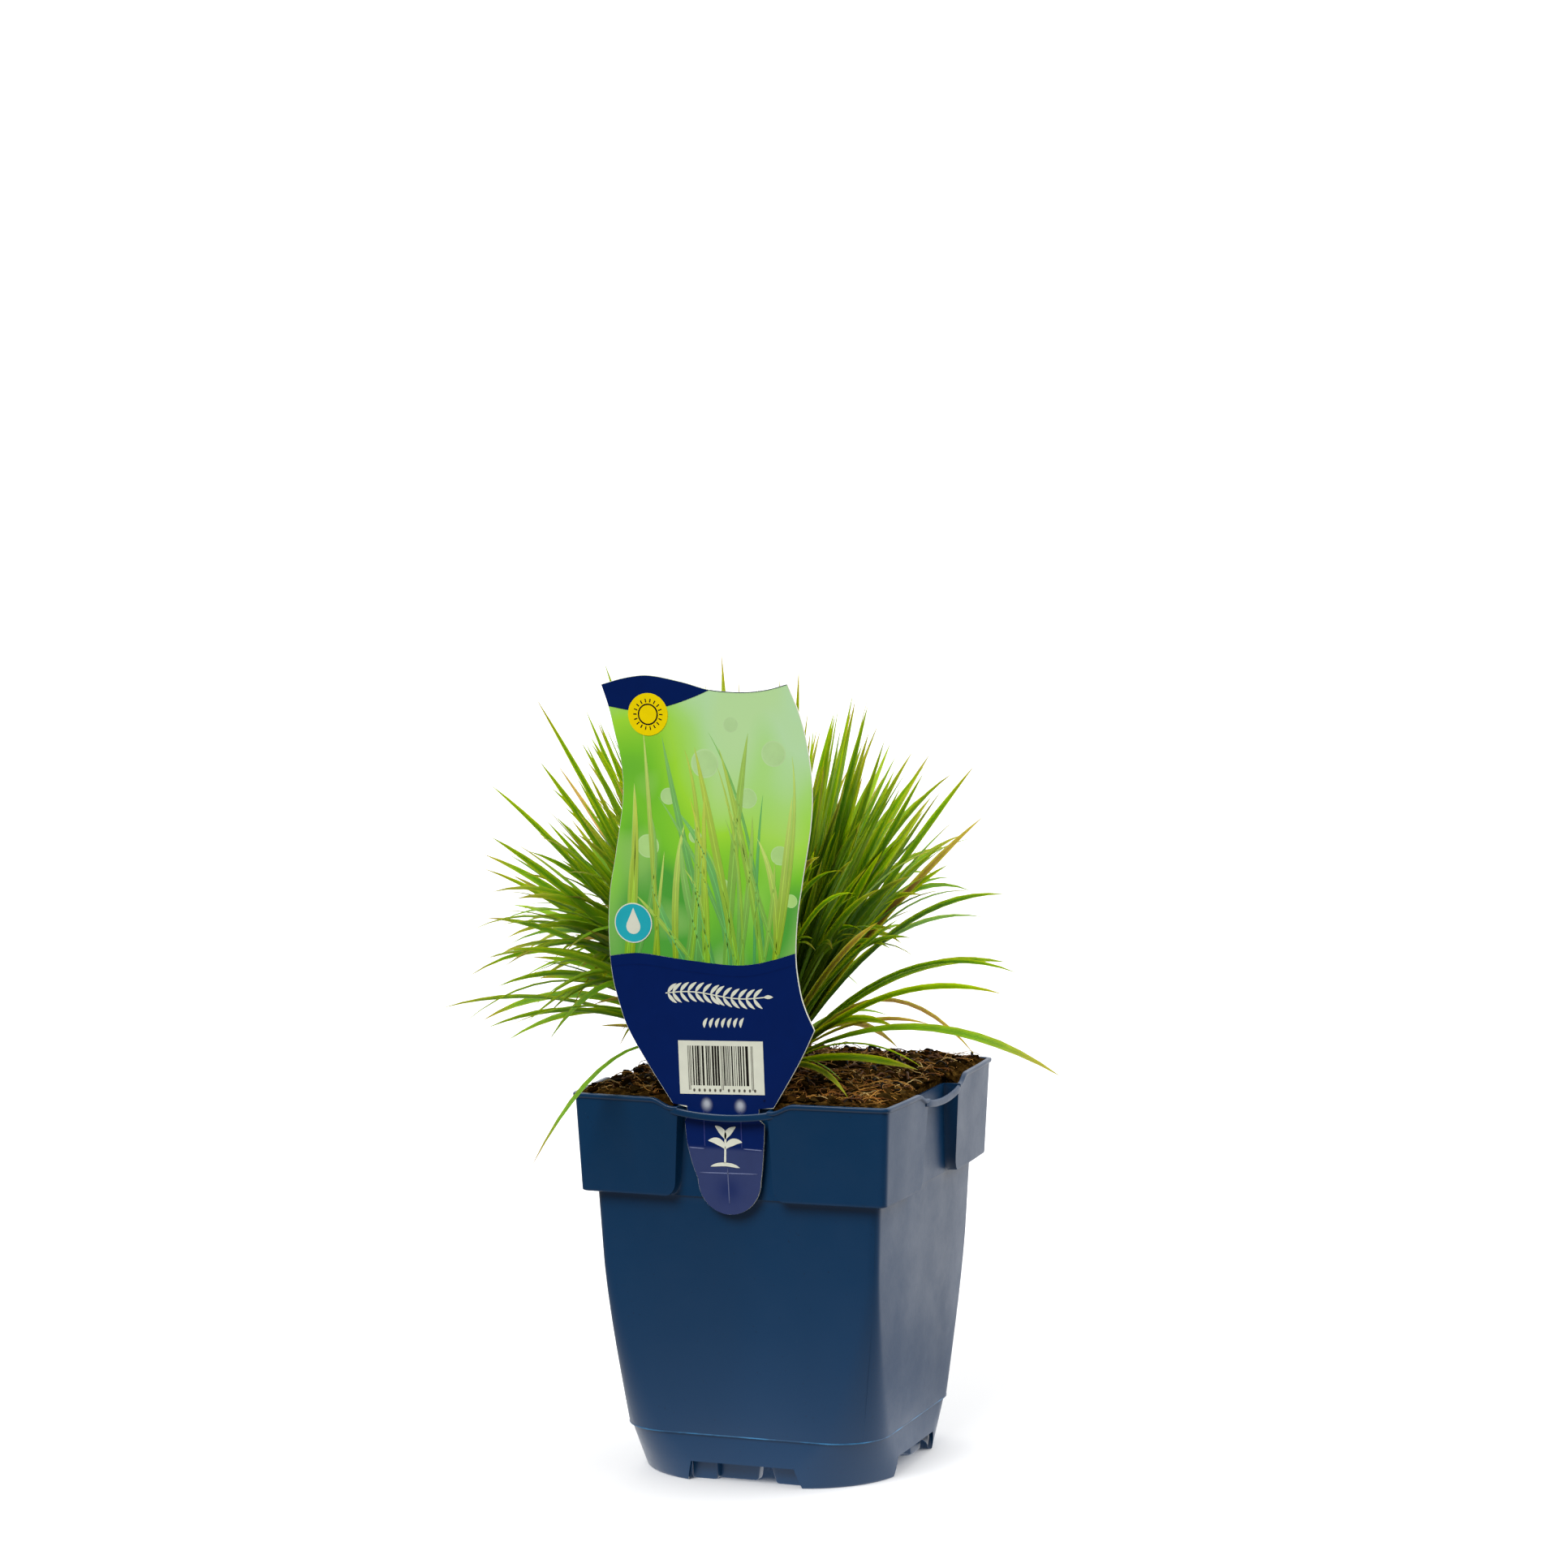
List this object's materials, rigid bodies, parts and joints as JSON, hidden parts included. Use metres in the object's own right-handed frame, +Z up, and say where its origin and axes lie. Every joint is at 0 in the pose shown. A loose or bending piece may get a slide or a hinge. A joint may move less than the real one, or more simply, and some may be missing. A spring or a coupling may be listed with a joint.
{
  "type": "potted blue hair grass",
  "caption": "Tussock of narrow green grass leaves in a square moulded blue nursery pot with peat soil, drain feet, label recesses with straps and a flat wavy plant label.",
  "frame": {"origin": "on the surface that the pot stands on, under the centre of the pot, which is also the middle of the spread of the leaves", "axes": "+Z up; the side with the label faces -Y; +X to the right when facing the label"},
  "size_m": [0.236, 0.2, 0.296],
  "materials": {
    "pot_plastic": "satin blue moulded polypropylene",
    "peat": "moist dark peat with golden fibres",
    "label_plastic": "printed flat polystyrene",
    "grass_leaf": "smooth living leaf with a soft sheen"
  },
  "bodies": {
    "root": {"pot": "pot_plastic", "soil": "peat", "plant_label": "label_plastic", "grass_tuft_centre": "grass_leaf", "grass_tuft_01": "grass_leaf", "grass_tuft_02": "grass_leaf", "grass_tuft_03": "grass_leaf", "grass_tuft_04": "grass_leaf", "grass_tuft_05": "grass_leaf", "grass_tuft_06": "grass_leaf", "grass_tuft_07": "grass_leaf", "grass_tuft_08": "grass_leaf", "grass_tuft_09": "grass_leaf", "grass_tuft_10": "grass_leaf", "grass_tuft_11": "grass_leaf", "grass_tuft_12": "grass_leaf"}
  },
  "joints": []
}
